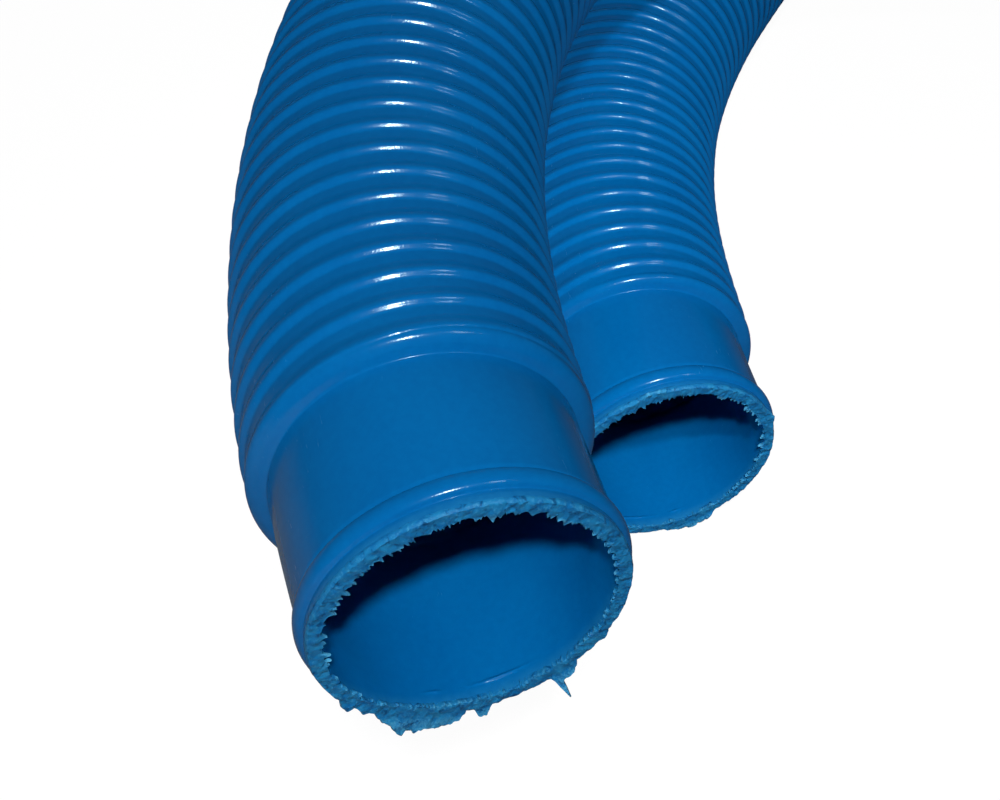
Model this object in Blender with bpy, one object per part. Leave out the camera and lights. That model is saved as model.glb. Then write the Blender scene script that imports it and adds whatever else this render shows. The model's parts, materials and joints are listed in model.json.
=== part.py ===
# Vacuum hose for pools and spas, one section, laid out in one open loop.
# Units are metres, +Z up.  The origin is the centre of the footprint, at the
# lowest point.  +Y runs from the near mouth into the hose, +X is to the right.
#
# The hose is a turned wall that follows one centre line, set by its length, a
# bend plan and a rise plan.  The wall is cut into short links with a narrow
# slot between neighbours.  The bend axis of each slot crosses the centre line
# in the middle of the slot.
import math

import bmesh
import bpy
import numpy
from mathutils import Vector

MM = 0.001

# ---------------------------------------------------------------- lengths
HOSE_LENGTH = 1.500          # mouth to mouth along the centre line
CUFF_LENGTH = 0.030          # end sleeve with its first rib, to mid slot
SLOT_WIDTH = 0.0040
LINK_BEVEL = 0.0018          # length of the taper at each end of a link

LINK_GROUPS = (("near_leg", 8), ("loop", 17), ("far_leg", 7))
LINK_COUNT = sum(count for _, count in LINK_GROUPS)
LINK_PITCH = (HOSE_LENGTH - 2 * CUFF_LENGTH) / LINK_COUNT
ROOT_LINK = 17               # counted from 1 at the near cuff

# ---------------------------------------------------------------- radii
RIB_RADIUS = 0.0240
LINK_END_RADIUS = 0.0229     # outside of a link at its slot
WALL_BORE_RADIUS = 0.0210    # inside of the ribbed wall
MOUTH_BORE_RADIUS = 0.0192
LIP_RADIUS = 0.0210          # outside of the flat end face
BEAD_RADIUS = 0.0220         # outside of the rolled bead
NECK_RADIUS = 0.0212         # smooth sleeve between bead and rib
CUFF_RIB_RADIUS = RIB_RADIUS - 0.0002
SEGMENTS = 18                # around the hose

# ---------------------------------------------------------------- cuff
# Distances from the mouth plane into the hose.
LIP_END = 0.0020
BEAD_START = 0.0026
BEAD_END = 0.0044
NECK_START = 0.0052
NECK_END = 0.0244
CUFF_RIB_START = 0.0258
MOUTH_BORE_END = 0.0270

# ---------------------------------------------------------------- course
# station along the hose (mm), curvature (1/m, positive to the right)
BEND_PLAN = (
    (0, 0.66), (24, 3.71), (110, 4.38), (200, 5.61), (290, 6.69),
    (440, -0.06), (600, -7.69), (750, -7.70), (900, -7.69), (1050, -4.53),
    (1200, -0.37), (1300, -1.65), (1390, -4.33), (1476, -3.39), (1500, -4.04),
)
# station along the hose (mm), slope of the centre line (degrees, up is +)
RISE_PLAN = (
    (0, 5.6), (24, 3.0), (60, 2.2), (130, 3.7), (160, 2.4), (200, -3.5),
    (270, -11.57), (470, -11.57), (690, 0.0), (1440, 0.0), (1476, -2.8),
    (1500, -7.5),
)
STEP = 0.002                 # integration step of the centre line

# ---------------------------------------------------------------- plastic
LINK_BLUE = (0.004, 0.105, 0.40)
CUFF_BLUE = (0.004, 0.115, 0.42)
PLASTIC_ROUGHNESS = 0.25

COLLECTION_NAME = "vacuum_hose"


# ---------------------------------------------------------------- centre line
def plan_value(plan, station_mm):
    stations, values = zip(*plan)
    return numpy.interp(station_mm, stations, values)


def slope_at(station_mm):
    return math.radians(plan_value(RISE_PLAN, station_mm))


def direction(heading, slope):
    """Unit vector; heading turns from +Y towards +X, slope is up from level."""
    return Vector((math.sin(heading) * math.cos(slope),
                   math.cos(heading) * math.cos(slope),
                   math.sin(slope)))


def integrate_centre_line():
    """(heading, slope, point) at every STEP, starting at the near mouth."""
    heading = 0.0
    point = Vector((0.0, 0.0, 0.0))
    rows = []
    for i in range(round(HOSE_LENGTH / STEP) + 1):
        start_mm = i * STEP / MM
        end_mm = start_mm + STEP / MM
        slope = slope_at(start_mm)
        rows.append((heading, slope, point))
        curvature = 0.5 * (plan_value(BEND_PLAN, start_mm) + plan_value(BEND_PLAN, end_mm))
        turn = curvature * STEP
        mid_slope = 0.5 * (slope + slope_at(end_mm))
        point = point + STEP * direction(heading + 0.5 * turn, mid_slope)
        heading += turn
    return rows


CENTRE_LINE = integrate_centre_line()


def cross_section(station):
    """Centre, right and up vectors of the hose's cross-section at a station,
    before the hose is moved to its footprint origin."""
    steps = station / STEP
    row = min(int(steps), len(CENTRE_LINE) - 2)
    fraction = steps - row
    heading0, slope0, point0 = CENTRE_LINE[row]
    heading1, slope1, point1 = CENTRE_LINE[row + 1]
    heading = heading0 + (heading1 - heading0) * fraction
    slope = slope0 + (slope1 - slope0) * fraction
    right = Vector((math.cos(heading), -math.sin(heading), 0.0))
    up = right.cross(direction(heading, slope))
    return point0.lerp(point1, fraction), right, up


# ---------------------------------------------------------------- profiles
# Each profile is a closed outline of (station, radius) points.
def link_profile(near_slot, far_slot):
    """One link between the middles of the slots on either side of it."""
    near_end = near_slot + SLOT_WIDTH / 2
    far_end = far_slot - SLOT_WIDTH / 2
    middle = 0.5 * (near_end + far_end)
    outer = [(near_end, LINK_END_RADIUS), (near_end + LINK_BEVEL, RIB_RADIUS),
             (middle, RIB_RADIUS),
             (far_end - LINK_BEVEL, RIB_RADIUS), (far_end, LINK_END_RADIUS)]
    inner = [(station, WALL_BORE_RADIUS) for station in (far_end, middle, near_end)]
    return outer + inner


def near_cuff_profile():
    slot_end = CUFF_LENGTH - SLOT_WIDTH / 2
    outer = [(0.0, LIP_RADIUS), (LIP_END, LIP_RADIUS),
             (BEAD_START, BEAD_RADIUS), (BEAD_END, BEAD_RADIUS),
             (NECK_START, NECK_RADIUS), (NECK_END, NECK_RADIUS),
             (CUFF_RIB_START, CUFF_RIB_RADIUS), (slot_end, LINK_END_RADIUS)]
    inner = [(slot_end, WALL_BORE_RADIUS), (MOUTH_BORE_END, MOUTH_BORE_RADIUS),
             (0.0, MOUTH_BORE_RADIUS)]
    return outer + inner


def far_cuff_profile():
    return [(HOSE_LENGTH - station, radius) for station, radius in near_cuff_profile()]


# ---------------------------------------------------------------- pieces
def link_pieces():
    """The links from near to far.  Each has its origin on the bend axis that
    faces the root link; the root link takes its own near axis."""
    names = [f"{group}_link_{number:02d}"
             for group, count in LINK_GROUPS for number in range(1, count + 1)]
    pieces = []
    for i, name in enumerate(names, start=1):
        near_slot = CUFF_LENGTH + (i - 1) * LINK_PITCH
        far_slot = near_slot + LINK_PITCH
        bend_axis = far_slot if i < ROOT_LINK else near_slot
        pieces.append((name, link_profile(near_slot, far_slot), bend_axis, LINK_BLUE))
    return pieces


def hose_pieces():
    """(name, profile, station of the origin, colour) of every piece."""
    return [
        ("near_cuff", near_cuff_profile(), CUFF_LENGTH, CUFF_BLUE),
        *link_pieces(),
        ("far_cuff", far_cuff_profile(), HOSE_LENGTH - CUFF_LENGTH, CUFF_BLUE),
    ]


def footprint_origin(profiles):
    """Centre of the hose's box in X and Y, and its lowest point in Z."""
    points = []
    for profile in profiles:
        for station, radius in profile:
            centre, right, up = cross_section(station)
            for k in range(SEGMENTS):
                angle = 2 * math.pi * k / SEGMENTS
                points.append(centre + right * (radius * math.cos(angle))
                              + up * (radius * math.sin(angle)))
    low = [min(values) for values in zip(*points)]
    high = [max(values) for values in zip(*points)]
    return Vector(((low[0] + high[0]) / 2, (low[1] + high[1]) / 2, low[2]))


def spin_straight(profile):
    """The profile turned about a straight X axis."""
    bm = bmesh.new()
    verts = [bm.verts.new((station, radius, 0.0)) for station, radius in profile]
    edges = [bm.edges.new((vert, verts[(i + 1) % len(verts)]))
             for i, vert in enumerate(verts)]
    bmesh.ops.spin(bm, geom=verts + edges, cent=(0, 0, 0), axis=(1, 0, 0),
                   angle=2 * math.pi, steps=SEGMENTS, use_merge=True)
    bmesh.ops.remove_doubles(bm, verts=bm.verts, dist=0.00001)
    return bm


def sleeve_mesh(name, profile, origin):
    """A straight sleeve laid along the centre line, so that each cross-section
    stays round and square to it."""
    bm = spin_straight(profile)
    for vert in bm.verts:
        centre, right, up = cross_section(vert.co.x)
        vert.co = centre + right * vert.co.y + up * vert.co.z - origin
    bmesh.ops.recalc_face_normals(bm, faces=bm.faces)
    # Turn the faces outwards if they were recalculated inside out.
    if bm.calc_volume(signed=True) < 0.0:
        bmesh.ops.reverse_faces(bm, faces=bm.faces)
    mesh = bpy.data.meshes.new(name)
    bm.to_mesh(mesh)
    bm.free()
    mesh.shade_smooth()
    mesh.set_sharp_from_angle(angle=math.radians(35))
    return mesh


def plastic(name, colour):
    material = bpy.data.materials.new(name)
    material.use_nodes = True
    shader = material.node_tree.nodes["Principled BSDF"]
    shader.inputs["Base Color"].default_value = (*colour, 1.0)
    shader.inputs["Roughness"].default_value = PLASTIC_ROUGHNESS
    shader.inputs["Metallic"].default_value = 0.0
    return material


def clear_scene():
    for obj in list(bpy.data.objects):
        bpy.data.objects.remove(obj, do_unlink=True)


def build():
    clear_scene()
    collection = bpy.data.collections.new(COLLECTION_NAME)
    bpy.context.scene.collection.children.link(collection)

    pieces = hose_pieces()
    footprint = footprint_origin([profile for _, profile, _, _ in pieces])
    for name, profile, origin_station, colour in pieces:
        origin, _, _ = cross_section(origin_station)
        mesh = sleeve_mesh(name, profile, origin)
        mesh.materials.append(plastic(name + "_plastic", colour))
        obj = bpy.data.objects.new(name, mesh)
        obj.location = origin - footprint
        collection.objects.link(obj)


build()
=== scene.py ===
# A 1.5 m pool vacuum hose lying on a pale floor, +Z up.  It leaves the near mouth
# along +Y, bends towards +X, loops round to the left and comes back to the far
# mouth; both mouths open towards -Y.
# The spiral-ribbed wall is made in lengths that each span one bend joint of the
# frame.  A ragged cut ring closes the edge of each mouth.
import json
import math

import bpy
import numpy as np
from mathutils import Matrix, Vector

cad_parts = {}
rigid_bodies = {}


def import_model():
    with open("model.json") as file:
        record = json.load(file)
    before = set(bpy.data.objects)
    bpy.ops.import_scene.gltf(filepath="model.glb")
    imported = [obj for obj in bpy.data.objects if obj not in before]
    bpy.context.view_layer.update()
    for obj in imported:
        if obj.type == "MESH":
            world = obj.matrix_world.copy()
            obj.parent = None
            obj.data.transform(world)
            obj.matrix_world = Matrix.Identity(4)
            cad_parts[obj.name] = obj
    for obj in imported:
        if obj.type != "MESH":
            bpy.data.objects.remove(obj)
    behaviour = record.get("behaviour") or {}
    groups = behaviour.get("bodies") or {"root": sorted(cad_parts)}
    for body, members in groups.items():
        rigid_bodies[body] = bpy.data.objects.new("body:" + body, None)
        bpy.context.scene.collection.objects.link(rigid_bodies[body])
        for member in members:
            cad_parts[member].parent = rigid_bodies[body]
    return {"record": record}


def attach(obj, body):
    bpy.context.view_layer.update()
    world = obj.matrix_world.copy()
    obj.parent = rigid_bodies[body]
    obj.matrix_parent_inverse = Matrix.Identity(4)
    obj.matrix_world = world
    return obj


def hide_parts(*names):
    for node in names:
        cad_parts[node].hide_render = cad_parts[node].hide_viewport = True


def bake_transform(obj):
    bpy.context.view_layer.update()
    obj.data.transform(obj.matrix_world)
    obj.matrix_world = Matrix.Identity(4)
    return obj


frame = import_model()
scene = bpy.context.scene
scene.view_settings.view_transform = "Standard"
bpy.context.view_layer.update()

# ------------------------------------------------------------------ dimensions
# The hose is worked out in millimetres and scaled to metres in its meshes.
# "along" is a distance on the centre line from the near mouth; "angle" goes
# round the hose, from its right-hand side (0) over its top (90 degrees).
MM_PER_M = 1000.0
TURN = 2 * math.pi
LENGTH = 1500.0
CUFF = 30.0
LINKS = 32
LINK = (LENGTH - 2 * CUFF) / LINKS
BLEND_HALF = 17.0             # how far either side of a joint its two sides are placed
RIB_R = 24.0
MOUTH_BORE = 19.2             # radii, like the next three
LIP_R = 21.05
SLEEVE_R = 21.2
WALL_BORE = 21.25
BEAD_AT, BEAD_HALF, BEAD_RISE = 3.4, 1.42, 0.93
PITCH = 5.508
FIRST_GROOVE = 26.74          # station of a groove, at PHASE_ANGLE round the hose
PHASE_ANGLE = math.radians(177.2)
CREST_AT = 0.79               # where the crest lies between two grooves, in pitches
SHARP_SWAP = (650.0, 850.0)   # over these stations the sharp flank changes sides
MOUNT_OFFSET = 20.1           # from the mouth's centre to the mount, along +X

SEGS = 144
RINGS_PER_PITCH = 22
CUT_SEGS = 1600
LINE_STEP = 2.0

# station (mm), turn to the right (radians per metre)
BEND_PLAN = (
    (0, 0.66), (24, 3.71), (110, 4.38), (200, 5.61), (290, 6.69),
    (440, -0.06), (600, -7.69), (750, -7.70), (900, -7.69), (1050, -4.53),
    (1200, -0.37), (1300, -1.65), (1390, -4.33), (1476, -3.39), (1500, -4.04),
)
# station (mm), climb (degrees)
RISE_PLAN = (
    (0, 5.6), (24, 3.0), (60, 2.2), (130, 3.7), (160, 2.4), (200, -3.5),
    (270, -11.57), (470, -11.57), (690, 0.0), (1440, 0.0), (1476, -2.8),
    (1500, -7.5),
)
# distance from a rib's crest (mm), slope of its sharp flank: a rounded crest, a
# steep step and a level valley
RIB_SLOPE = (
    (0.0, 0.0), (0.20, 0.22), (0.38, 0.75), (0.47, 1.08), (0.84, 1.04), (0.95, 0.55),
    (1.1, 0.10), (1.3, 0.0), (1.6, -0.04), (2.4, -0.04), (PITCH / 2, 0.0),
)


def lookup(x, table):
    return np.interp(x, *zip(*table))


def running_sum(values):
    return np.concatenate([[0.0], np.cumsum(values)])


# ----------------------------------------------------------------- centre line
def tangent_of(turn, climb):
    return np.stack([np.sin(turn) * np.cos(climb), np.cos(turn) * np.cos(climb),
                     np.sin(climb)], -1)


def centre_line():
    """Stations, headings, climbs and points of the line, from the origin."""
    along = np.arange(0.0, LENGTH + 1e-6, LINE_STEP)
    bend = lookup(along, BEND_PLAN) / MM_PER_M
    climb = np.radians(lookup(along, RISE_PLAN))
    turn = running_sum(0.5 * (bend[1:] + bend[:-1]) * LINE_STEP)
    steps = tangent_of(0.5 * (turn[:-1] + turn[1:]), 0.5 * (climb[:-1] + climb[1:]))
    points = np.concatenate([[np.zeros(3)], np.cumsum(steps * LINE_STEP, 0)])
    return along, turn, climb, points


LINE_ALONG, LINE_TURN, LINE_CLIMB, LINE_POINTS = centre_line()
mount = next(m for m in frame["record"]["mounts"] if m["name"] == "near_mouth")
MOUTH_AT = np.array(mount["pos_m"]) * MM_PER_M - np.array([MOUNT_OFFSET, 0.0, 0.0])


def station(along):
    """Centre, tangent, right and up; the line runs on straight past its ends."""
    along = np.asarray(along, float)
    inside = np.clip(along, 0.0, LENGTH)
    turn = np.interp(inside, LINE_ALONG, LINE_TURN)
    climb = np.interp(inside, LINE_ALONG, LINE_CLIMB)
    centre = np.stack([np.interp(inside, LINE_ALONG, LINE_POINTS[:, axis])
                       for axis in range(3)], -1)
    tangent = tangent_of(turn, climb)
    right = np.stack([np.cos(turn), -np.sin(turn), np.zeros_like(turn)], -1)
    up = np.cross(right, tangent)
    centre = centre + tangent * (along - inside)[..., None] + MOUTH_AT
    return centre, tangent, right, up


def centre_m(along):
    """Centre of the hose at one station, in metres."""
    return station(np.array([along]))[0][0] / MM_PER_M


def lay(along, radius, angle):
    """Points of the bent hose, from arrays of one shape."""
    centre, _, right, up = station(along)
    spoke = right * np.cos(angle)[..., None] + up * np.sin(angle)[..., None]
    return centre + spoke * radius[..., None]


def straight_coords(along, radius, angle):
    """Where points would lie if the hose were straight, for the materials."""
    return np.stack([along, radius * np.cos(angle), radius * np.sin(angle)], -1)


# ---------------------------------------------------------------- wall profile
def ease(x, start, end):
    part = np.clip((x - start) / (end - start), 0.0, 1.0)
    return part * part * (3 - 2 * part)


def bell(x, middle, width):
    return np.exp(-((x - middle) / width) ** 2)


FLANK_X = np.linspace(0.0, PITCH / 2, 400)
flank_slope = lookup(FLANK_X, RIB_SLOPE)
SHARP_DROP = running_sum(0.5 * (flank_slope[1:] + flank_slope[:-1]) * np.diff(FLANK_X))
EVEN_DROP = float(SHARP_DROP[-1]) * 0.5 * (1.0 - np.cos(math.pi * FLANK_X / (PITCH / 2)))


def rib_drop(along, angle):
    """How far the spiral wall lies below its crests."""
    phase = (along - FIRST_GROOVE) / PITCH + (angle - PHASE_ANGLE) / TURN
    x = ((phase - CREST_AT + 0.5) % 1.0 - 0.5) * PITCH
    # the flank on the side of the nearer mouth is the sharp one
    sharp = np.interp(np.abs(x), FLANK_X, SHARP_DROP)
    even = np.interp(np.abs(x), FLANK_X, EVEN_DROP)
    swap = ease(along, *SHARP_SWAP)
    return np.where(x < 0, sharp * (1 - swap) + even * swap, even * (1 - swap) + sharp * swap)


def wobble(along, angle, seed, amount):
    """A smooth, small unevenness that closes round the hose."""
    rng = np.random.RandomState(seed)
    total = np.zeros(np.broadcast(along, angle).shape)
    for _ in range(7):
        waves = rng.randint(1, 6)
        rate = rng.uniform(0.02, 0.25)
        wave = np.sin(waves * angle + rate * along + rng.uniform(0, 6.28))
        total = total + wave * rng.uniform(0.3, 1.0)
    return total * amount / 3.0


def outer_radius(along, angle):
    """Outside of the hose: lip, rolled bead, sleeve, shoulder, then the spiral."""
    depth = np.minimum(along, LENGTH - along)          # from the nearer mouth
    # the lip has a rounded corner at the cut
    lip = LIP_R - 0.22 * (1.0 - ease(depth, 0.0, 0.55)) - 0.10 * ease(depth, 1.2, 2.0)
    across = (depth - BEAD_AT) / BEAD_HALF
    bead = LIP_R + BEAD_RISE * np.sqrt(np.clip(1.0 - across * across, 0.0, 1.0))
    sleeve = SLEEVE_R - 0.13 * bell(depth, 5.0, 0.35)
    cuff = np.where(np.abs(across) < 1.0, bead, np.where(depth < BEAD_AT, lip, sleeve))

    # at the near end the first valley is filled, from the shoulder to the first crest
    turn = (angle - PHASE_ANGLE + 0.02) % TURN - TURN
    crest = FIRST_GROOVE - (1.0 - CREST_AT) * PITCH - PITCH * turn / TURN
    crest = np.where(along < LENGTH / 2, crest, 0.0)
    ribbed = RIB_R - rib_drop(along, angle)
    open_part = ease(crest, 28.6, 30.3)
    filled = np.maximum(ribbed, RIB_R - 0.22) * (1 - open_part) + ribbed * open_part
    ribbed = np.where(depth < crest, filled, ribbed)

    # shoulder: a small fillet, a short steep step and a rounded top edge
    shoulder = 1.0 - (1.0 - np.clip((depth - 24.4) / 2.2, 0.0, 1.0)) ** 2.2
    shoulder = shoulder * ease(depth, 24.3, 25.0)
    radius = cuff * (1 - shoulder) + ribbed * shoulder
    return radius + wobble(along, angle, seed=5, amount=0.05)


def inner_radius(along, angle):
    """Inside of the hose: the mouth's bore, then the wall, faintly ribbed."""
    depth = np.minimum(along, LENGTH - along)
    wall = WALL_BORE + 0.10 - 0.15 * rib_drop(along, angle)
    radius = MOUTH_BORE + (wall - MOUTH_BORE) * ease(depth, 28.0, 33.0)
    # a low moulding ridge just inside the lower lip
    degrees = np.degrees(angle) % 360.0
    ridge = bell(degrees, 284.0, 9.0) + 0.7 * bell(degrees, 257.0, 2.5)
    radius = radius - 0.27 * ridge * bell(depth, 2.4, 0.25)
    return radius + wobble(along, angle, seed=9, amount=0.03)


# -------------------------------------------------------------------- meshes
def grid_normals(points):
    """Outward unit normals of points [ring, segment], closed round the ring."""
    around = np.roll(points, -1, 1) - np.roll(points, 1, 1)
    onward = np.empty_like(points)
    onward[1:-1] = points[2:] - points[:-2]
    onward[0] = points[1] - points[0]
    onward[-1] = points[-1] - points[-2]
    normals = np.cross(onward, around)
    return normals / np.maximum(np.linalg.norm(normals, axis=-1, keepdims=True), 1e-12)


def ring_quads(rings, segs, closed=False):
    """Quads between rings; closed also joins the last ring to the first."""
    i = np.arange(rings if closed else rings - 1)[:, None]
    j = np.arange(segs)[None, :]
    here = i * segs
    there = (i + 1) % rings * segs
    beside = (j + 1) % segs
    corners = [here + j, here + beside, there + beside, there + j]
    return np.stack(corners, -1).reshape(-1, 4)


def mesh_from(name, verts_mm, quads, coords, loop_normals=None):
    mesh = bpy.data.meshes.new(name)
    verts = np.asarray(verts_mm, np.float64) / MM_PER_M
    quads = np.asarray(quads, np.int32)
    mesh.vertices.add(len(verts))
    mesh.vertices.foreach_set("co", verts.astype(np.float32).ravel())
    mesh.loops.add(quads.size)
    mesh.loops.foreach_set("vertex_index", quads.ravel())
    mesh.polygons.add(len(quads))
    mesh.polygons.foreach_set("loop_start", np.arange(0, quads.size, 4, dtype=np.int32))
    mesh.polygons.foreach_set("use_smooth", np.ones(len(quads), bool))
    mesh.update(calc_edges=True)
    straight = mesh.attributes.new("hose_co", "FLOAT_VECTOR", "POINT")
    straight.data.foreach_set("vector", np.asarray(coords, np.float32).ravel())
    mesh.validate()
    if loop_normals is not None:
        mesh.normals_split_custom_set(np.asarray(loop_normals, np.float32).tolist())
    return mesh


def add_object(mesh, material):
    obj = bpy.data.objects.new(mesh.name, mesh)
    scene.collection.objects.link(obj)
    mesh.materials.append(material)
    return obj


def tube(name, rings):
    """A closed length of hose wall over the given stations."""
    # one more ring past either end gives the end rings their normals
    padded = np.concatenate([[2 * rings[0] - rings[1]], rings, [2 * rings[-1] - rings[-2]]])
    along, angle = np.meshgrid(padded, np.arange(SEGS) * 2 * math.pi / SEGS, indexing="ij")
    verts, coords, normals = [], [], []
    for radius_of, outward in ((outer_radius, 1), (inner_radius, -1)):
        radius = radius_of(along, angle)
        points = lay(along, radius, angle)
        verts.append(points[1:-1].reshape(-1, 3))
        coords.append(straight_coords(along, radius, angle)[1:-1].reshape(-1, 3))
        normals.append(outward * grid_normals(points)[1:-1].reshape(-1, 3))
    normals = np.concatenate(normals)

    count = len(rings)
    inside = count * SEGS                  # first vertex of the inner skin
    last = (count - 1) * SEGS              # first vertex of the last outer ring
    grid = ring_quads(count, SEGS)
    outer_quads = grid[:, ::-1]
    inner_quads = inside + grid
    j = np.arange(SEGS)
    beside = (j + 1) % SEGS
    start_cap = np.stack([beside, inside + beside, inside + j, j], -1)
    end_cap = last + np.stack([inside + j, inside + beside, beside, j], -1)
    tangent = station(rings)[1]
    loop_normals = np.concatenate([
        normals[outer_quads].reshape(-1, 3), normals[inner_quads].reshape(-1, 3),
        np.tile(-tangent[0], (SEGS * 4, 1)), np.tile(tangent[-1], (SEGS * 4, 1))])
    quads = np.concatenate([outer_quads, inner_quads, start_cap, end_cap])
    return mesh_from(name, np.concatenate(verts), quads, np.concatenate(coords), loop_normals)


def ring_stations(start, end):
    count = max(2, int(round((end - start) / PITCH * RINGS_PER_PITCH)))
    return np.linspace(start, end, count + 1)


def cuff_stations(end):
    """Closer rings where the lip, the bead and the shoulder turn sharply."""
    fine = 0.10
    # from, to, step
    parts = ((0.0, 5.8, fine), (5.8, 24.0, 0.9), (24.0, 27.0, fine),
             (27.0, end, PITCH / RINGS_PER_PITCH))
    rows = [np.linspace(first, last, int(round((last - first) / step)), endpoint=False)
            for first, last, step in parts]
    return np.concatenate(rows + [[end]])


# ----------------------------------------------------------- shader node helpers
def feed(tree, value, socket):
    """Link a socket, or set a plain value."""
    if isinstance(value, bpy.types.NodeSocket):
        tree.links.new(value, socket)
    else:
        socket.default_value = value


def new_material(name):
    material = bpy.data.materials.new(name)
    material.use_nodes = True
    tree = material.node_tree
    return material, tree, tree.nodes["Principled BSDF"]


def attribute(tree, name):
    node = tree.nodes.new("ShaderNodeAttribute")
    node.attribute_name = name
    return node.outputs


def mix_rgb(tree, fac, first, second):
    node = tree.nodes.new("ShaderNodeMix")
    node.data_type = "RGBA"
    feed(tree, fac, node.inputs[0])
    feed(tree, first, node.inputs[6])
    feed(tree, second, node.inputs[7])
    return node.outputs[2]


def noise(tree, vector, scale=1.0, detail=3.0, rough=0.5, distort=0.0):
    node = tree.nodes.new("ShaderNodeTexNoise")
    node.inputs["Scale"].default_value = scale
    node.inputs["Detail"].default_value = detail
    node.inputs["Roughness"].default_value = rough
    node.inputs["Distortion"].default_value = distort
    tree.links.new(vector, node.inputs["Vector"])
    return node.outputs["Fac"]


def ramp(tree, fac, low, high):
    """A colour ramp between two (position, colour) stops."""
    node = tree.nodes.new("ShaderNodeValToRGB")
    for element, (position, colour) in zip(node.color_ramp.elements, (low, high)):
        element.position = position
        element.color = (*colour, 1.0)
    tree.links.new(fac, node.inputs["Fac"])
    return node.outputs["Color"]


def grey(value):
    return (value,) * 3


def scaled(tree, vector, along, across):
    """Straight-hose coordinates, scaled along the hose and across it."""
    node = tree.nodes.new("ShaderNodeMapping")
    node.inputs["Scale"].default_value = (along, across, across)
    tree.links.new(vector, node.inputs["Vector"])
    return node.outputs["Vector"]


def maths(tree, operation, first, second, clamp=False):
    node = tree.nodes.new("ShaderNodeMath")
    node.operation = operation
    node.use_clamp = clamp
    feed(tree, first, node.inputs[0])
    feed(tree, second, node.inputs[1])
    return node.outputs[0]


def split_x(tree, vector):
    node = tree.nodes.new("ShaderNodeSeparateXYZ")
    tree.links.new(vector, node.inputs[0])
    return node.outputs[0]


def camera_ray(tree):
    return tree.nodes.new("ShaderNodeLightPath").outputs["Is Camera Ray"]


def finish_plastic(tree, bsdf, specular, relief, strength, distance):
    """Set the shine, and a bump of the given strength and distance (m)."""
    bsdf.inputs["IOR"].default_value = 1.5
    bsdf.inputs["Specular IOR Level"].default_value = specular
    bump = tree.nodes.new("ShaderNodeBump")
    bump.inputs["Strength"].default_value = strength
    bump.inputs["Distance"].default_value = distance
    tree.links.new(relief, bump.inputs["Height"])
    tree.links.new(bump.outputs["Normal"], bsdf.inputs["Normal"])


# ------------------------------------------------------------------- materials
def hose_plastic():
    """Glossy blue moulded plastic."""
    material, tree, bsdf = new_material("hose_blue_plastic")
    place = attribute(tree, "hose_co")["Vector"]
    # slow clouding along the hose, and a finer mottle
    cloud = noise(tree, scaled(tree, place, along=0.03, across=0.05))
    colour = ramp(tree, cloud, (0.30, (0.0002, 0.116, 0.365)), (0.70, (0.0006, 0.140, 0.415)))
    mottle = noise(tree, place, scale=0.9, detail=4.0, rough=0.6)
    mottled = ramp(tree, mottle, (0.35, (0.0, 0.092, 0.31)), (0.68, (0.001, 0.165, 0.47)))
    colour = mix_rgb(tree, 0.16, colour, mottled)
    # scuffs: thin marks running with the hose, only here and there
    streak = noise(tree, scaled(tree, place, along=0.35, across=2.6),
                   detail=6.0, rough=0.62, distort=0.6)
    patches = noise(tree, place, scale=0.045, detail=2.0)
    scuff = maths(tree, "MULTIPLY",
                  ramp(tree, streak, (0.62, grey(0)), (0.70, grey(1))),
                  ramp(tree, patches, (0.50, grey(0)), (0.62, grey(1))))
    scuff_tint = maths(tree, "MULTIPLY", scuff, 0.10)
    colour = mix_rgb(tree, scuff_tint, colour, (0.008, 0.18, 0.46, 1.0))
    # the lip pales over its last 2 mm, where the blade dragged over it
    along = split_x(tree, place)
    from_far = maths(tree, "SUBTRACT", LENGTH, along)
    depth = maths(tree, "MINIMUM", along, from_far)
    pale = maths(tree, "SUBTRACT", 1.0, maths(tree, "DIVIDE", depth, 2.0), clamp=True)
    pale = maths(tree, "MULTIPLY", pale, maths(tree, "ADD", mottle, 0.1), clamp=True)
    colour = mix_rgb(tree, pale, colour, (0.016, 0.19, 0.42, 1.0))
    tree.links.new(colour, bsdf.inputs["Base Color"])
    # uneven gloss, duller on the scuffs
    rough = ramp(tree, noise(tree, place, scale=0.25), (0.3, grey(0.14)), (0.7, grey(0.19)))
    rough = maths(tree, "ADD", rough, maths(tree, "MULTIPLY", scuff, 0.16))
    tree.links.new(rough, bsdf.inputs["Roughness"])
    # fine relief: orange peel and drag lines of the moulding
    peel = noise(tree, place, scale=1.6, detail=2.0)
    drag = noise(tree, scaled(tree, place, along=0.25, across=3.2), rough=0.6)
    relief = maths(tree, "ADD", maths(tree, "MULTIPLY", peel, 0.6),
                   maths(tree, "MULTIPLY", drag, 0.25))
    relief = maths(tree, "SUBTRACT", relief, maths(tree, "MULTIPLY", scuff, 0.15))
    finish_plastic(tree, bsdf, specular=0.5, relief=relief, strength=0.22, distance=0.00012)
    return material


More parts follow.
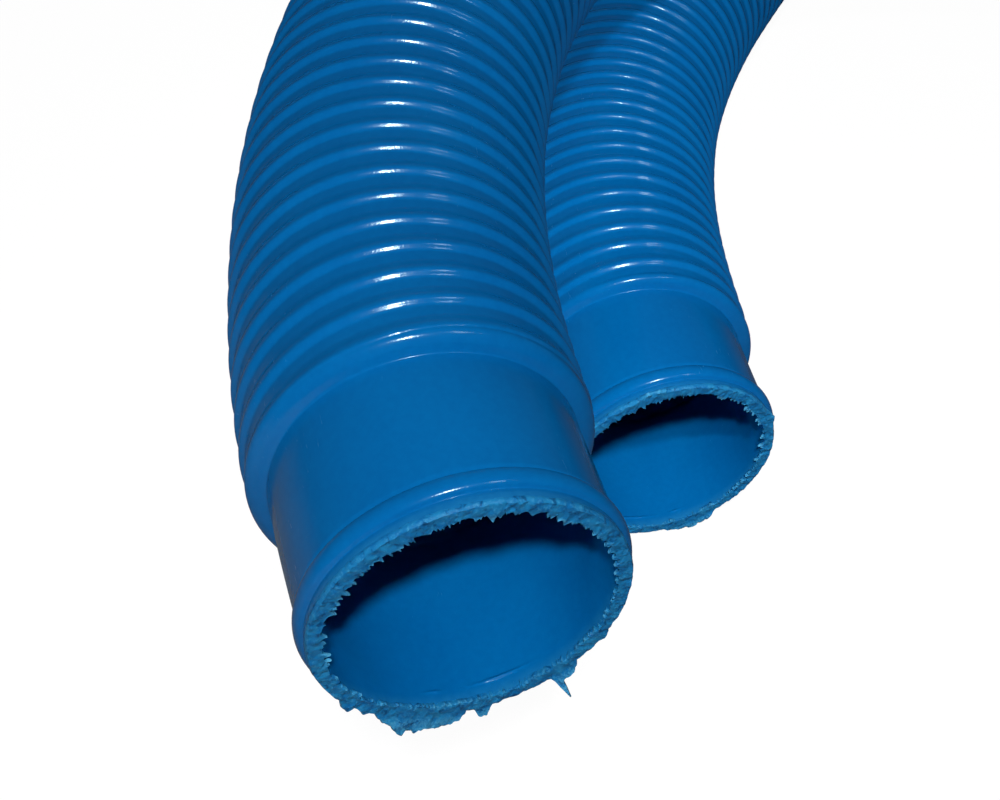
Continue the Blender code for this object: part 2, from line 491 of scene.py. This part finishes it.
def cut_plastic():
    """Torn, stress-whitened plastic at the cut."""
    material, tree, bsdf = new_material("cut_blue_plastic")
    place = attribute(tree, "hose_co")["Vector"]
    fray = attribute(tree, "fray")["Fac"]
    patch = noise(tree, place, scale=0.55, rough=0.6)
    fine = noise(tree, place, scale=2.4, detail=4.0, rough=0.65)
    base = ramp(tree, patch, (0.34, (0.004, 0.130, 0.37)), (0.66, (0.012, 0.205, 0.455)))
    # whitening follows the fray, broken up by the fine noise
    speckle = maths(tree, "MULTIPLY", fray, 0.9)
    speckle = maths(tree, "ADD", speckle, maths(
        tree, "SUBTRACT", maths(tree, "MULTIPLY", fine, 1.7), 1.08))
    pale = maths(tree, "MULTIPLY", maths(tree, "SUBTRACT", speckle, 0.08), 1.15, clamp=True)
    colour = mix_rgb(tree, pale, base, (0.10, 0.45, 0.71, 1.0))
    # dark flecks
    flecks = noise(tree, place, scale=1.1, rough=0.55, distort=0.8)
    dark = ramp(tree, flecks, (0.34, grey(1)), (0.42, grey(0)))
    dark = maths(tree, "MULTIPLY", dark, 0.7)
    colour = mix_rgb(tree, dark, colour, (0.0, 0.045, 0.15, 1.0))
    tree.links.new(colour, bsdf.inputs["Base Color"])
    rough = ramp(tree, fine, (0.3, grey(0.34)), (0.7, grey(0.55)))
    tree.links.new(rough, bsdf.inputs["Roughness"])
    finish_plastic(tree, bsdf, specular=0.25, relief=fine, strength=0.35, distance=0.0002)
    return material


# ------------------------------------------------------------------ the skin
BODIES = ["near_cuff"]
BODIES += ["near_leg_link_%02d" % i for i in range(1, 9)]
BODIES += ["loop_link_%02d" % i for i in range(1, 18)]
BODIES += ["far_leg_link_%02d" % i for i in range(1, 8)]
BODIES += ["far_cuff"]
BACKWARD_JOINT = 30           # its two sides are listed from its outer end


def middle_of(body):
    """Station of the middle of a link; the cuffs count from their mouths."""
    if body == 0:
        return 0.0
    if body == LINKS + 1:
        return LENGTH
    return CUFF + (body - 0.5) * LINK


def build_skin(plastic):
    for joint in range(LINKS + 1):
        start, end = middle_of(joint), middle_of(joint + 1)
        if joint == 0:
            rings = cuff_stations(end)
        elif joint == LINKS:
            rings = (LENGTH - cuff_stations(LENGTH - start))[::-1]
        else:
            rings = ring_stations(start, end)
        obj = add_object(tube("hose_wall_%02d" % (joint + 1), rings), plastic)
        joint_at = CUFF + joint * LINK
        sides = [(BODIES[joint], tuple(centre_m(joint_at - BLEND_HALF))),
                 (BODIES[joint + 1], tuple(centre_m(joint_at + BLEND_HALF)))]
        if joint == BACKWARD_JOINT:
            sides.reverse()
        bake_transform(obj)
        if joint == 0:
            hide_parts(BODIES[0], BODIES[1])
        else:
            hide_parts(BODIES[joint + 1])


build_skin(hose_plastic())

# ------------------------------------------------------------- the ragged cuts
# Each mouth was cut with a blade.  The cut face is rough, small teeth reach
# into the bore, and burrs and torn flaps stand out past the lip.
CUT_R = 20.0                  # radius on which the grain of the cut is measured
CUT_ROUND = 2 * math.pi * CUT_R
FACE_ROWS = 12

# large teeth: angle (degrees), reach (mm), half width (mm)
NEAR_TEETH = (
    (83, 1.55, 0.8), (80.5, 1.0, 0.7), (89, 0.5, 0.8), (75, 0.6, 0.7), (67.5, 0.75, 0.9),
    (59.5, 0.9, 0.6), (56, 1.1, 0.9), (52, 1.25, 1.3), (49, 0.8, 0.6), (37, 0.35, 0.6),
    (98, 0.55, 0.7), (103, 0.75, 0.5), (107, 0.6, 0.8), (118, 0.6, 0.5), (121, 0.45, 0.9),
    (128, 0.5, 0.6), (133, 0.75, 0.45), (148, 0.6, 0.5), (160, 0.5, 0.5), (185, 0.7, 0.5),
    (11, 0.55, 0.7), (1, 0.3, 0.5), (353, 0.35, 0.7),
)
FAR_TEETH = (
    (20, 0.8, 0.8), (55, 0.6, 0.6), (64, 1.0, 0.9), (97, 0.7, 0.7), (118, 1.1, 0.8),
    (133, 0.5, 0.6), (171, 0.8, 0.7), (204, 0.5, 0.6), (262, 0.6, 0.8), (310, 0.7, 0.6),
)
# outline of the burrs: angle (degrees), how far they stand outside the lip (mm)
NEAR_BURRS = (
    (0, 0.05), (60, 0.02), (140, 0.02), (205, 0.05), (215, 0.10), (218.5, 0.95), (221.5, 1.0),
    (222.5, 0.2), (226, 0.3), (228.5, 0.8), (230, 0.25), (232, 0.1), (236, 1.0), (240, 1.6),
    (244, 2.7), (246.6, 2.9), (247.6, 2.3), (249.6, 2.5), (250.8, 3.2), (252, 2.5), (257, 2.6),
    (262, 2.3), (266, 1.5), (268.2, 0.9), (268.6, 0.1), (271.5, 0.15), (272.8, 1.7),
    (275.8, 2.2), (277.4, 0.7), (278.5, 0.1), (299, 0.0), (301.5, 0.4), (302.2, 1.2),
    (302.9, 4.3), (304.6, 1.3), (309.5, 1.5), (312.3, 0.8), (314, 0.0), (326, 0.0),
    (328, 0.45), (331, 0.3), (332, 0.0), (360, 0.05),
)
FAR_BURRS = (
    (0, 0.05), (70, 0.05), (74, 0.9), (82, 0.5), (86, 0.05), (150, 0.05), (158, 0.8),
    (163, 0.1), (236, 0.05), (242, 1.2), (252, 1.6), (263, 0.9), (266, 0.05), (301, 0.05),
    (304, 1.4), (307, 0.1), (360, 0.05),
)
# angle (degrees), size of the small teeth there
TOOTH_STRENGTH = ((0, 0.9), (30, 0.6), (60, 0.8), (90, 0.9), (140, 1.0), (190, 0.9),
                  (225, 0.45), (260, 0.2), (320, 0.25), (360, 0.9))
# angle (degrees), how far a burr curls out of the mouth for each mm it stands out
BURR_CURL = ((0, 0.1), (225, 0.15), (240, 0.35), (260, 0.1), (275, 0.2), (290, 0.1),
             (303, 0.5), (315, 0.1), (360, 0.1))


def grain(around, across, cell, seed, period=CUT_ROUND):
    """Value noise, 0 to 1, over two lengths; around closes after the period."""
    rng = np.random.RandomState(seed)
    count = max(3, int(round(period / cell)))
    table = rng.rand(count, 64)
    u = (around / period * count) % count
    v = (across / cell) % 63.0
    i, j = np.floor(u).astype(int), np.floor(v).astype(int)
    part_u, part_v = u - i, v - j
    part_u = part_u * part_u * (3 - 2 * part_u)
    part_v = part_v * part_v * (3 - 2 * part_v)
    here, beside = i % count, (i + 1) % count
    low = table[here, j] * (1 - part_u) + table[beside, j] * part_u
    high = table[here, j + 1] * (1 - part_u) + table[beside, j + 1] * part_u
    return low * (1 - part_v) + high * part_v


def tooth_line(angle, seed, large):
    """How far the ragged inner edge reaches into the bore, in mm."""
    rng = np.random.RandomState(seed)
    teeth = [(math.radians(degrees), reach, half) for degrees, reach, half in large]
    for at in rng.uniform(0, 2 * math.pi, 190):
        strength = float(lookup(math.degrees(at), TOOTH_STRENGTH))
        reach = strength * (0.20 + 1.05 * rng.rand() ** 1.3)
        teeth.append((at, reach, rng.uniform(0.13, 0.36)))
    edge = np.zeros_like(angle)
    for at, reach, half in teeth:
        lean = rng.uniform(0.3, 0.7)
        offset = ((angle - at + math.pi) % TURN - math.pi) * MOUTH_BORE
        rise = 1.0 + offset / (2 * half * lean)
        fall = 1.0 - offset / (2 * half * (1 - lean))
        edge = np.maximum(edge, reach * np.clip(np.minimum(rise, fall), 0.0, 1.0))
    around = angle * MOUTH_BORE
    period = 2 * math.pi * MOUTH_BORE
    edge = edge + 0.16 * grain(around, 0.0, 0.32, seed + 3, period)
    edge = edge + 0.40 * (grain(around, 5.0, 4.0, seed + 4, period) - 0.6)
    return np.maximum(edge, -0.12)


def cut_section(angle, large, burrs, seed):
    """Rows round the section of the cut ring, as radius, depth and fray arrays."""
    degrees = np.degrees(angle)
    around = angle * CUT_R
    teeth = tooth_line(angle, seed, large)
    tip = np.clip(teeth, 0.0, 2.0)
    burr = lookup(degrees, burrs) * (0.86 + 0.28 * grain(around, 0.0, 0.45, seed + 5))
    burr = burr + 0.09 * grain(around, 3.0, 0.6, seed + 6)
    burr_part = np.clip(burr, 0, 1)
    curl = lookup(degrees, BURR_CURL)
    r_in = MOUTH_BORE - teeth
    r_out = LIP_R - 0.06 + burr
    # outside, from behind the lip to the edge of the cut
    rows = [
        (20.2, 1.1, 0.0),
        (LIP_R - 0.10 + 0.35 * burr, 0.95 - 0.45 * burr_part, 0.1),
        (LIP_R - 0.03 + 0.92 * burr, 0.55 - 0.2 * burr_part - curl * burr, 0.25 * burr),
        (r_out + 0.04, 0.22 - curl * burr, 0.3 + 0.3 * burr),
        (r_out - 0.06, 0.02 - curl * burr, 0.35 + 0.4 * burr),
    ]
    # the rough face of the cut
    for k in range(FACE_ROWS):
        radius = r_out - 0.12 + (r_in + 0.10 - r_out + 0.12) * ((k + 0.5) / FACE_ROWS)
        past_lip = np.maximum(radius - LIP_R, 0.0)
        rough = (0.28 * grain(around, radius, 0.9, seed + 7)
                 + 0.11 * grain(around, radius, 0.38, seed + 8)
                 + 0.10 * grain(around, radius * 3.0, 2.2, seed + 9))
        fray = (0.15 + 0.55 * rough + 0.35 * np.clip(past_lip, 0, 1)
                + 0.5 * np.clip(MOUTH_BORE - radius, 0, 1))
        rows.append((radius, -0.02 - rough - curl * past_lip, fray))
    # the teeth, and back into the bore
    rows += [
        (r_in, -0.16 - 0.12 * grain(around, 9.0, 0.5, seed + 10), 0.35 + 0.8 * tip),
        (r_in + 0.03, 0.10, 0.35 + 0.8 * tip),
        (MOUTH_BORE - 0.75 * teeth + 0.05, 0.30, 0.2 + 0.5 * tip),
        (MOUTH_BORE - 0.30 * tip + 0.04, 0.62, 0.1),
        (MOUTH_BORE + 0.12, 1.0, 0.0),
    ]
    radius, depth, fray = (np.array([value + 0 * angle for value in column])
                           for column in zip(*rows))
    return radius, depth, np.clip(fray, 0, 1)


def ragged_cut(name, body, material, at_far, large, burrs, seed):
    """The cut face with its teeth and burrs: one closed, thin, rough ring."""
    angle = np.arange(CUT_SEGS) * 2 * math.pi / CUT_SEGS
    radius, along, fray = cut_section(angle, large, burrs, seed)
    quads = ring_quads(len(radius), CUT_SEGS, closed=True)
    if at_far:
        # mirrored, so the faces turn over
        along = LENGTH - along
        quads = quads[:, ::-1]
    angle = np.broadcast_to(angle, radius.shape)
    mesh = mesh_from(name, lay(along, radius, angle).reshape(-1, 3), quads,
                     straight_coords(along, radius, angle).reshape(-1, 3))
    frayed = mesh.attributes.new("fray", "FLOAT", "POINT")
    frayed.data.foreach_set("value", fray.reshape(-1).astype(np.float32))
    mesh.set_sharp_from_angle(angle=math.radians(50))
    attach(add_object(mesh, material), body)


cut_edge = cut_plastic()
ragged_cut("near_cut_edge", "near_cuff", cut_edge, at_far=False,
           large=NEAR_TEETH, burrs=NEAR_BURRS, seed=41)
ragged_cut("far_cut_edge", "far_cuff", cut_edge, at_far=True,
           large=FAR_TEETH, burrs=FAR_BURRS, seed=73)

# --------------------------------------------------------------------- stage
FLOOR_HALF = 6.0              # metres, like the rest of the stage
FLOOR_Z = -0.0004


def pale_floor():
    """Looks evenly lit to the camera, and gives little light back to the hose."""
    material, tree, bsdf = new_material("pale_floor")
    position = tree.nodes.new("ShaderNodeNewGeometry").outputs["Position"]
    cloud = noise(tree, position, scale=9.0)
    seen = ramp(tree, cloud, (0.3, (0.86, 0.865, 0.87)), (0.7, grey(0.90)))
    to_camera = camera_ray(tree)
    # the bounced light darkens from x = -0.45 to x = -0.2
    side = maths(tree, "ADD", split_x(tree, position), 0.45)
    side = maths(tree, "MULTIPLY", side, 4.0, clamp=True)
    bounce = mix_rgb(tree, side, (0.24, 0.26, 0.26, 1.0), (0.06, 0.06, 0.065, 1.0))
    colour = mix_rgb(tree, to_camera, bounce, seen)
    tree.links.new(colour, bsdf.inputs["Base Color"])
    bsdf.inputs["Roughness"].default_value = 0.9
    bsdf.inputs["Specular IOR Level"].default_value = 0.1
    # mostly glow to the camera, so only a faint shadow shows
    glow = tree.nodes.new("ShaderNodeEmission")
    glow.inputs["Color"].default_value = (1.0, 1.0, 1.0, 1.0)
    glow.inputs["Strength"].default_value = 1.03
    glow_part = maths(tree, "MULTIPLY", camera_ray(tree), 0.94)
    mix = tree.nodes.new("ShaderNodeMixShader")
    for source, socket in zip((glow_part, bsdf.outputs[0], glow.outputs[0]), mix.inputs):
        tree.links.new(source, socket)
    tree.links.new(mix.outputs[0], tree.nodes["Material Output"].inputs["Surface"])
    return material


def build_floor():
    mesh = bpy.data.meshes.new("floor")
    corners = [(x * FLOOR_HALF, y * FLOOR_HALF, FLOOR_Z)
               for x, y in ((-1, -1), (1, -1), (1, 1), (-1, 1))]
    mesh.from_pydata(corners, [], [(0, 1, 2, 3)])
    floor = bpy.data.objects.new("floor", mesh)
    scene.collection.objects.link(floor)
    mesh.materials.append(pale_floor())


def build_world():
    """White to the camera, almost dark to everything else."""
    world = bpy.data.worlds.new("pale_world")
    scene.world = world
    world.use_nodes = True
    tree = world.node_tree
    background = tree.nodes["Background"]
    background.inputs["Color"].default_value = (1.0, 1.0, 1.0, 1.0)
    strength = maths(tree, "MULTIPLY", camera_ray(tree), 0.975)
    strength = maths(tree, "ADD", strength, 0.025)
    tree.links.new(strength, background.inputs["Strength"])


build_floor()
build_world()


# -------------------------------------------------------------------- lights
def heading(azimuth, elevation):
    """A direction in degrees: azimuth from +Y towards +X, elevation upwards."""
    a, e = math.radians(azimuth), math.radians(elevation)
    return Vector((math.sin(a) * math.cos(e), math.cos(a) * math.cos(e), math.sin(e)))


def place_lamp(light, target, direction, distance):
    """A lamp that stands off from its target along the direction and faces it."""
    lamp = bpy.data.objects.new(light.name, light)
    scene.collection.objects.link(lamp)
    lamp.location = target + direction * distance
    lamp.rotation_euler = direction.to_track_quat("Z", "Y").to_euler()
    return lamp


def area(name, target, azimuth, elevation, distance, size, power, colour=(1, 1, 1)):
    light = bpy.data.lights.new(name, "AREA")
    light.shape = "DISK"
    light.size = size
    light.energy = power
    light.color = colour
    return place_lamp(light, target, heading(azimuth, elevation).normalized(), distance)


def left_out(name, objects):
    """A light-linking collection whose objects are excluded."""
    collection = bpy.data.collections.new(name)
    for obj in objects:
        collection.objects.link(obj)
    for entry in collection.collection_objects:
        entry.light_linking.link_state = "EXCLUDE"
    return collection


def walls(first, last):
    return [bpy.data.objects["hose_wall_%02d" % i] for i in range(first, last + 1)]


SHINE_TINT = (0.70, 0.95, 1.0)
near_cuff_at = Vector(centre_m(60.0))
mouth_at = Vector(MOUTH_AT / MM_PER_M)
stage_middle = Vector((0.0, 0.05, 0.05))
# the key stands close, so its light falls off along the legs; its shine comes
# from a second lamp a little to the right
key = area("key_lamp", mouth_at, azimuth=-164, elevation=53.0,
           distance=0.58, size=0.036, power=3.75)
key.visible_glossy = False
shine = area("key_shine", near_cuff_at, azimuth=-178, elevation=52.0,
             distance=5.0, size=0.28, power=140.0, colour=SHINE_TINT)
shine.visible_diffuse = False
# a soft spot keeps the far end as bright as the near one
spot = bpy.data.lights.new("far_spot", "SPOT")
spot.energy = 15.0
spot.shadow_soft_size = 0.02
spot.spot_size = math.radians(24.0)
spot.spot_blend = 1.0
far_spot = place_lamp(spot, Vector(centre_m(LENGTH - 25.0)), heading(-168, 53), distance=0.9)
far_spot.visible_glossy = False
far_spot.light_linking.receiver_collection = left_out(
    "far_spot_passes", walls(1, 15) + [bpy.data.objects["near_cut_edge"]])
side_shine = area("side_shine", near_cuff_at, azimuth=140, elevation=48,
                  distance=1.9, size=0.22, power=1.8, colour=SHINE_TINT)
side_shine.visible_diffuse = False
# light from behind, for the far sides of the ribs and the back of the hose
back = area("back_softbox", stage_middle, azimuth=10, elevation=12,
            distance=2.2, size=1.3, power=14.0)
back.visible_glossy = False
flank = area("right_softbox", stage_middle, azimuth=95, elevation=8,
             distance=2.2, size=1.0, power=1.6)
flank.visible_glossy = False
# the near leg throws no key shadow over the far one
key.light_linking.blocker_collection = left_out("key_passes", walls(3, 18))

# -------------------------------------------------------------------- camera
lens = bpy.data.cameras.new("camera")
lens.lens = 64.8
lens.sensor_width = 36.0
lens.clip_start = 0.01
camera = bpy.data.objects.new("camera", lens)
scene.collection.objects.link(camera)
camera.location = mouth_at + Vector((-0.0393, -0.1441, 0.1675))
camera.rotation_mode = "QUATERNION"
camera.rotation_quaternion = heading(16.57, -41.5).to_track_quat("-Z", "Y")
scene.camera = camera
